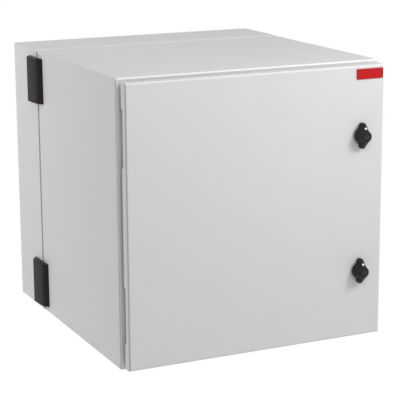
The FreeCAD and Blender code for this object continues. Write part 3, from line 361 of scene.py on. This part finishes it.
def make_knob(end):
    low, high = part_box(f"latch_knob_{end}")
    axis, face, top = (low + high) / 2, high.y, high.y - low.y
    hub, reach = (high.x - low.x) / 2, (high.z - low.z) / 2
    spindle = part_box(f"latch_spindle_{end}")
    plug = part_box(f"key_plug_{end}")
    spindle_radius = (spindle[1].x - spindle[0].x) / 2 + PLUG_ROOM
    plug_radius = (plug[1].x - plug[0].x) / 2 + PLUG_ROOM
    plug_depth = plug[1].y - plug[0].y + PLUG_ROOM
    shape = bmesh.new()
    rings = []
    for height in (SOCKET_DEPTH, 0):
        rings.append(knob_ring(shape, axis, face, height, lambda angle: spindle_radius))
    for height in knob_heights(top):
        inset = EDGE_INSET if height in (0, top) else 0
        rings.append(knob_ring(
            shape, axis, face, height, lambda angle: knob_radius(angle, height, top, hub, reach) - inset))
    for height in (top, top - plug_depth):
        rings.append(knob_ring(shape, axis, face, height, lambda angle: plug_radius))
    for lower, upper in zip(rings, rings[1:]):
        for step in range(KNOB_SIDES):
            following = (step + 1) % KNOB_SIDES
            shape.faces.new((lower[step], lower[following], upper[following], upper[step]))
    shape.faces.new(rings[0])
    shape.faces.new(rings[-1])
    bmesh.ops.recalc_face_normals(shape, faces=shape.faces)
    add_dot(shape, axis, face, top, reach)
    mesh = bpy.data.meshes.new(f"wing_knob_{end}")
    shape.to_mesh(mesh)
    shape.free()
    mesh.shade_smooth()
    mesh.set_sharp_from_angle(angle=math.radians(KNOB_SHARP_ANGLE))
    mesh.materials.append(black_plastic)
    mesh.materials.append(white_print)
    knob = bpy.data.objects.new(f"wing_knob_{end}", mesh)
    bpy.context.scene.collection.objects.link(knob)
    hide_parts(f"latch_knob_{end}")
    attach(knob, f"latch_{end}")


for end in ENDS:
    make_knob(end)

# Plated steel inside and behind: rails, rack angles, cams, nuts, pins and screws.
# Zinc-plated, with the faint crystalline clouding and drawn grain of plated strip.


def plated_group():
    """Plated strip: drawn grain under faint crystalline clouding."""
    group = shader_group("PlatedMetal", [
        ("Base", "NodeSocketColor", (0.6, 0.6, 0.6, 1)),
        ("Grain size", "NodeSocketFloat", 60.0),
        ("Grain amount", "NodeSocketFloat", 0.08),
        ("Roughness", "NodeSocketFloat", 0.35),
    ])
    source = add(group, "NodeGroupInput").outputs
    place = add(group, "ShaderNodeTexCoord").outputs["Object"]
    stretched = add(group, "ShaderNodeMapping", [("Vector", place), ("Scale", (6.0, 1.0, 6.0))]).outputs[0]
    drawn = noise(group, stretched, 220.0, 3.0)
    cloud = cells(group, place, source["Grain size"])
    total = maths(group, "ADD", drawn, cloud)
    change = maths(group, "MULTIPLY", scaled(group, total, 0.4, 1.4, -1, 1), source["Grain amount"])
    toned = brightened(group, source["Base"], maths(group, "ADD", change, 1.0))
    rough = maths(group, "ADD", source["Roughness"], change)
    bevel = add(group, "ShaderNodeBevel", [("Radius", 0.0004)], samples=4).outputs[0]
    bump = add(group, "ShaderNodeBump", [("Strength", 0.08), ("Distance", 0.0002),
                                         ("Height", drawn), ("Normal", bevel)])
    return close_group(group, toned, rough, bump.outputs[0])


plated = plated_group()
zinc = material("zinc_plated_steel", plated, {
    "Base": (0.62, 0.62, 0.61, 1), "Grain size": 90.0, "Grain amount": 0.07, "Roughness": 0.36,
}, metallic=1.0)
dress(zinc, "panel_studs", "rack_angle_left", "rack_angle_right", "rack_bolts", "rack_nuts",
      "door_hinge_screws", "hinge_screws_back", "hinge_screws_centre",
      "earth_stud_back", "earth_stud_centre", "earth_stud_door")
for end in ENDS:
    dress(zinc, f"swing_hinge_pin_{end}", f"door_hinge_bracket_{end}", f"door_hinge_leaf_{end}",
          f"door_hinge_pin_{end}", f"latch_nut_{end}", f"latch_spindle_{end}", f"latch_cam_{end}",
          f"latch_cam_nut_{end}", f"catch_plate_{end}", f"catch_cam_{end}", f"catch_nut_{end}",
          f"rack_rail_{end}_left", f"rack_rail_{end}_right")

# Threaded studs of the mounting panel and the earth points.
# Zinc-plated steel studs with a metric thread, welded to the sheet by their foot.

THREAD_DEPTH = 0.55
RIDGE_WIDTH = 0.5
THREAD_RUNOUT = 1.5
STEPS_PER_TURN = 20
STUD_SIDES = 24
STUD_SHARP_ANGLE = 35
STUD_INPUTS = (
    ("Points", "NodeSocketGeometry"),
    ("Radius", "NodeSocketFloat"),
    ("Pitch", "NodeSocketFloat"),
    ("Length", "NodeSocketFloat"),
    ("Turn", "NodeSocketVector"),
    ("Finish", "NodeSocketMaterial"),
)


def stud_group():
    """Puts a threaded stud on every point of a mesh; the thread's shares are shares of its pitch."""
    group = bpy.data.node_groups.new("ThreadedStuds", "GeometryNodeTree")
    sockets = {}
    for label, kind in STUD_INPUTS:
        sockets[label] = group.interface.new_socket(label, in_out="INPUT", socket_type=kind).identifier
    group.interface.new_socket("Studs", in_out="OUTPUT", socket_type="NodeSocketGeometry")
    source = add(group, "NodeGroupInput").outputs
    depth = maths(group, "MULTIPLY", source["Pitch"], THREAD_DEPTH)
    core_radius = maths(group, "SUBTRACT", source["Radius"], depth)
    ridge = maths(group, "MULTIPLY", source["Pitch"], RIDGE_WIDTH)
    line_radius = maths(group, "SUBTRACT", source["Radius"], ridge)
    lead = maths(group, "MULTIPLY", source["Pitch"], THREAD_RUNOUT)
    rise = maths(group, "SUBTRACT", source["Length"], lead)
    turns = maths(group, "DIVIDE", rise, source["Pitch"])
    spiral = add(group, "GeometryNodeCurveSpiral", [
        ("Resolution", STEPS_PER_TURN), ("Rotations", turns), ("Start Radius", line_radius),
        ("End Radius", line_radius), ("Height", rise)])
    profile = add(group, "GeometryNodeCurvePrimitiveCircle", [("Resolution", 4), ("Radius", ridge)])
    thread = add(group, "GeometryNodeCurveToMesh", [
        ("Curve", spiral.outputs[0]), ("Profile Curve", profile.outputs[0]), ("Fill Caps", True)])
    thread_lift = add(group, "ShaderNodeCombineXYZ", [("Z", maths(group, "MULTIPLY", lead, 0.5))])
    lifted = add(group, "GeometryNodeTransform", [
        ("Geometry", thread.outputs[0]), ("Translation", thread_lift.outputs[0])])
    core = add(group, "GeometryNodeMeshCylinder", [
        ("Vertices", STUD_SIDES), ("Radius", core_radius), ("Depth", source["Length"])])
    core_lift = add(group, "ShaderNodeCombineXYZ", [("Z", maths(group, "MULTIPLY", source["Length"], 0.5))])
    raised = add(group, "GeometryNodeTransform", [
        ("Geometry", core.outputs["Mesh"]), ("Translation", core_lift.outputs[0])])
    joined = add(group, "GeometryNodeJoinGeometry")
    group.links.new(lifted.outputs[0], joined.inputs[0])
    group.links.new(raised.outputs[0], joined.inputs[0])
    placed = add(group, "GeometryNodeInstanceOnPoints", [
        ("Points", source["Points"]), ("Instance", joined.outputs[0]), ("Rotation", source["Turn"])])
    real = add(group, "GeometryNodeRealizeInstances", [(0, placed.outputs[0])])
    painted = add(group, "GeometryNodeSetMaterial", [
        ("Geometry", real.outputs[0]), ("Material", source["Finish"])])
    result = add(group, "NodeGroupOutput")
    group.links.new(painted.outputs[0], result.inputs[0])
    return group, sockets


studs, stud_sockets = stud_group()


def make_studs(node, body, feet, values):
    """Threaded studs with their feet at given points, in place of a CAD node."""
    mesh = bpy.data.meshes.new(f"threaded_{node}")
    mesh.from_pydata([tuple(foot) for foot in feet], [], [])
    piece = bpy.data.objects.new(f"threaded_{node}", mesh)
    bpy.context.scene.collection.objects.link(piece)
    modifier = piece.modifiers.new("studs", "NODES")
    modifier.node_group = studs
    for label, value in values.items():
        modifier[stud_sockets[label]] = value
    bpy.context.view_layer.update()
    made = bpy.data.meshes.new_from_object(piece.evaluated_get(bpy.context.evaluated_depsgraph_get()))
    piece.modifiers.remove(modifier)
    piece.data = made
    made.shade_smooth()
    made.set_sharp_from_angle(angle=math.radians(STUD_SHARP_ANGLE))
    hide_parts(node)
    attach(piece, body)


STUD_PITCH = 0.001
STUD_RADIUS = 0.003
thread = {"Radius": STUD_RADIUS, "Pitch": STUD_PITCH, "Finish": zinc}
low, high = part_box("panel_studs")
feet = [(x, high.y, z) for x in (low.x + STUD_RADIUS, high.x - STUD_RADIUS)
        for z in (low.z + STUD_RADIUS, high.z - STUD_RADIUS)]
forwards = {"Length": high.y - low.y, "Turn": (math.pi / 2, 0, 0)}
make_studs("panel_studs", "back_section", feet, thread | forwards)
for node, body in (("earth_stud_back", "back_section"), ("earth_stud_centre", "centre_section")):
    low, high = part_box(node)
    foot = ((low.x + high.x) / 2, (low.y + high.y) / 2, low.z)
    make_studs(node, body, [foot], thread | {"Length": high.z - low.z, "Turn": (0.0, 0.0, 0.0)})
low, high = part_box("earth_stud_door")
foot = ((low.x + high.x) / 2, low.y, (low.z + high.z) / 2)
backwards = {"Length": high.y - low.y, "Turn": (-math.pi / 2, 0, 0)}
make_studs("earth_stud_door", "door", [foot], thread | backwards)

# Latch housings and key plugs.
# Both are turned; the housing is nickel-plated and duller than the zinc, the plug is blackened and slotted.

nickel = material("dull_nickel", plated, {
    "Base": (0.26, 0.26, 0.26, 1), "Grain size": 300.0, "Grain amount": 0.05, "Roughness": 0.38,
}, metallic=1.0)
blackened = material("blackened_zinc", plated, {
    "Base": (0.045, 0.042, 0.044, 1), "Grain size": 500.0, "Grain amount": 0.08, "Roughness": 0.30,
}, metallic=0.6)
for end in ENDS:
    dress(nickel, f"latch_housing_{end}")
    dress(blackened, f"key_plug_{end}")

# Earthing nuts.
# Plain brass hexagon nuts on the welded studs.

brass = material("brass", plated, {
    "Base": (0.72, 0.50, 0.22, 1), "Grain size": 400.0, "Grain amount": 0.06, "Roughness": 0.30,
}, metallic=1.0)
dress(brass, "earth_nut_back", "earth_nut_centre", "earth_nut_door")

# Foam strips in the seam and round the door.
# Closed-cell foam poured in place: matt, black, with fine open pores.


def foam_group():
    """Foam: dark open pores over the whole skin."""
    group = shader_group("Foam", [
        ("Base", "NodeSocketColor", (0.03, 0.03, 0.03, 1)),
        ("Pore size", "NodeSocketFloat", 1400.0),
    ])
    source = add(group, "NodeGroupInput").outputs
    place = add(group, "ShaderNodeTexCoord").outputs["Object"]
    pores = cells(group, place, source["Pore size"])
    toned = brightened(group, source["Base"], scaled(group, pores, 0.0, 0.6, 0.45, 1.1))
    bump = add(group, "ShaderNodeBump", [("Strength", 0.5), ("Distance", 0.0005), ("Height", pores)])
    return close_group(group, toned, scaled(group, pores, 0.0, 0.6, 0.95, 0.8), bump.outputs[0])


foam = material("black_foam", foam_group(), {"Base": (0.028, 0.028, 0.028, 1)})
dress(foam, "seam_seal", "door_gasket")
FOAM_WIDTH = 0.012
FOAM_CORNER = 0.018
SEAM_FOAM_INSET = 0.0045
BEAD_SQUARENESS = 3.5
BEAD_STEPS = 24
CORNER_STEPS = 8


def rounded_loop(shape, middle, half_x, half_z, corner, y):
    """A closed loop round a rectangle with rounded corners."""
    loop = []
    for turn, (side_x, side_z) in enumerate(((1, 1), (-1, 1), (-1, -1), (1, -1))):
        centre_x = middle.x + side_x * (half_x - corner)
        centre_z = middle.z + side_z * (half_z - corner)
        for step in range(CORNER_STEPS + 1):
            angle = math.pi / 2 * (turn + step / CORNER_STEPS)
            loop.append(shape.verts.new((
                centre_x + corner * math.cos(angle), y, centre_z + corner * math.sin(angle))))
    return loop


def make_foam_bead(node, body, inset):
    """A foam strip with a rounded section, laid round in one run, in place of a CAD node."""
    low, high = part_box(node)
    middle, half = (low + high) / 2, (high - low) / 2
    shape = bmesh.new()
    loops = []
    for step in range(BEAD_STEPS):
        angle = step * math.tau / BEAD_STEPS
        across = math.copysign(abs(math.cos(angle)) ** (2 / BEAD_SQUARENESS), math.cos(angle))
        along = math.copysign(abs(math.sin(angle)) ** (2 / BEAD_SQUARENESS), math.sin(angle))
        inward = (inset + FOAM_WIDTH) / 2 - across * (FOAM_WIDTH - inset) / 2
        loops.append(rounded_loop(shape, middle, half.x - inward, half.z - inward,
                                  FOAM_CORNER - inward, middle.y + along * half.y))
    for first, second in zip(loops, loops[1:] + loops[:1]):
        for step in range(len(first)):
            following = (step + 1) % len(first)
            shape.faces.new((first[step], second[step], second[following], first[following]))
    bmesh.ops.recalc_face_normals(shape, faces=shape.faces)
    mesh = bpy.data.meshes.new(f"foam_{node}")
    shape.to_mesh(mesh)
    shape.free()
    mesh.shade_smooth()
    mesh.materials.append(foam)
    bead = bpy.data.objects.new(f"foam_{node}", mesh)
    bpy.context.scene.collection.objects.link(bead)
    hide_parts(node)
    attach(bead, body)


make_foam_bead("seam_seal", "back_section", SEAM_FOAM_INSET)
make_foam_bead("door_gasket", "door", 0.0)

# Plain plate on the door.
# A pressed red plate with a raised rim, stuck on, and left blank.

# The lighter Edge colour is a painted highlight on the plate's rim and edges.
red_plate = material("red_plate", coated, {
    "Base": (0.45, 0.0045, 0.0075, 1), "Edge": (0.60, 0.03, 0.035, 1), "Edge width": 0.0006,
    "Edge amount": 0.4, "Roughness": 0.30, "Peel size": 900.0, "Peel height": 0.05, "Tone amount": 0.05,
}, Specular_IOR_Level=0.30)
dress(red_plate, "front_plate")

# Floor and white surroundings.
# The cabinet hangs above a pale floor that keeps its shadow. Camera, mirror and glass rays see both the
# floor and the room as near white.

FLOOR_HEIGHT = -0.62
FLOOR_SIZE = 30
FLOOR_GLOW = 1.03
FLOOR_WHITE_SHARE = 0.955
FLOOR_GREY = 0.85
ROOM_LEVEL = 0.42


def surround_factor(tree, share):
    """The share where a camera, glossy or transmission ray arrives, and zero elsewhere."""
    rays = add(tree, "ShaderNodeLightPath").outputs
    seen = maths(tree, "MAXIMUM", rays["Is Camera Ray"], rays["Is Glossy Ray"])
    seen = maths(tree, "MAXIMUM", seen, rays["Is Transmission Ray"])
    return maths(tree, "MULTIPLY", seen, share)


def whitened(tree, share, own, white):
    links = [(0, surround_factor(tree, share)), (1, own.outputs[0]), (2, white.outputs[0])]
    return add(tree, "ShaderNodeMixShader", links).outputs[0]


def make_floor():
    mesh = bpy.data.meshes.new("floor")
    shape = bmesh.new()
    bmesh.ops.create_grid(shape, x_segments=1, y_segments=1, size=FLOOR_SIZE)
    bmesh.ops.translate(shape, vec=(0, 0, FLOOR_HEIGHT), verts=shape.verts)
    shape.to_mesh(mesh)
    shape.free()
    floor = bpy.data.objects.new("floor", mesh)
    bpy.context.scene.collection.objects.link(floor)
    look = bpy.data.materials.new("pale_floor")
    look.use_nodes = True
    tree = look.node_tree
    tree.nodes.clear()
    matt = add(tree, "ShaderNodeBsdfDiffuse", [("Color", (FLOOR_GREY, FLOOR_GREY, FLOOR_GREY, 1))])
    white = add(tree, "ShaderNodeEmission", [("Color", (1, 1, 1, 1)), ("Strength", FLOOR_GLOW)])
    result = add(tree, "ShaderNodeOutputMaterial")
    tree.links.new(whitened(tree, FLOOR_WHITE_SHARE, matt, white), result.inputs["Surface"])
    mesh.materials.append(look)


def make_world():
    world = bpy.data.worlds.new("studio")
    bpy.context.scene.world = world
    world.use_nodes = True
    tree = world.node_tree
    tree.nodes.clear()
    room = add(tree, "ShaderNodeBackground", [("Color", (1, 1, 1, 1)), ("Strength", ROOM_LEVEL)])
    white = add(tree, "ShaderNodeBackground", [("Color", (1, 1, 1, 1)), ("Strength", 1.0)])
    result = add(tree, "ShaderNodeOutputWorld")
    tree.links.new(whitened(tree, 1.0, room, white), result.inputs["Surface"])


make_floor()
make_world()

# Lamps.
# Four round soft lamps: the key in front on the right, and fills in front, on the left and behind.


def make_lamp(name, place, aim, size, power):
    """A round soft lamp. Glossy rays see only the white surroundings, so it burns out no flat side."""
    lamp = bpy.data.lights.new(name, "AREA")
    lamp.shape = "DISK"
    lamp.size = size
    lamp.energy = power
    holder = bpy.data.objects.new(name, lamp)
    holder.location = place
    holder.rotation_euler = (Vector(aim) - Vector(place)).to_track_quat("-Z", "Y").to_euler()
    holder.visible_glossy = False
    bpy.context.scene.collection.objects.link(holder)


make_lamp("key", (0.9, -1.6, 0.95), (0.2, -0.6, 0.1), 0.6, 13.9)
make_lamp("front_fill", (-0.5, -1.9, 1.05), (-0.1, -0.6, 0.1), 0.8, 7)
make_lamp("left_fill", (-1.6, 0.85, 0.75), (-0.3, -0.05, 0.05), 0.9, 15)
make_lamp("rear_fill", (1.7, 2.4, 0.1), (0.1, -0.1, 0.0), 0.5, 9)

# Camera to the left of the cabinet and a little above it, with a long lens.
# Its place and focal length are fitted to corners of the back box, the centre section and the door.

FRAME_PIXELS = 400
SENSOR_WIDTH = 36


def make_camera(azimuth, elevation, roll, distance, target, focal_pixels):
    turn, rise, tilt = (math.radians(angle) for angle in (azimuth, elevation, roll))
    back = Vector((math.sin(turn) * math.cos(rise), -math.cos(turn) * math.cos(rise), math.sin(rise)))
    level = (-back).cross(Vector((0, 0, 1))).normalized()
    upright = level.cross(-back)
    right = level * math.cos(tilt) + upright * math.sin(tilt)
    up = upright * math.cos(tilt) - level * math.sin(tilt)
    data = bpy.data.cameras.new("camera")
    data.sensor_width = SENSOR_WIDTH
    data.lens = focal_pixels / FRAME_PIXELS * SENSOR_WIDTH
    camera = bpy.data.objects.new("camera", data)
    place = Matrix((right, up, back)).transposed().to_4x4()
    place.translation = Vector(target) + back * distance
    camera.matrix_world = place
    bpy.context.scene.collection.objects.link(camera)
    bpy.context.scene.camera = camera


make_camera(-25.2034, 13.2787, -0.3363, 3.33906, (-0.004039, -0.378, -0.026295), 1481.16)
bpy.context.scene.view_settings.view_transform = "Standard"
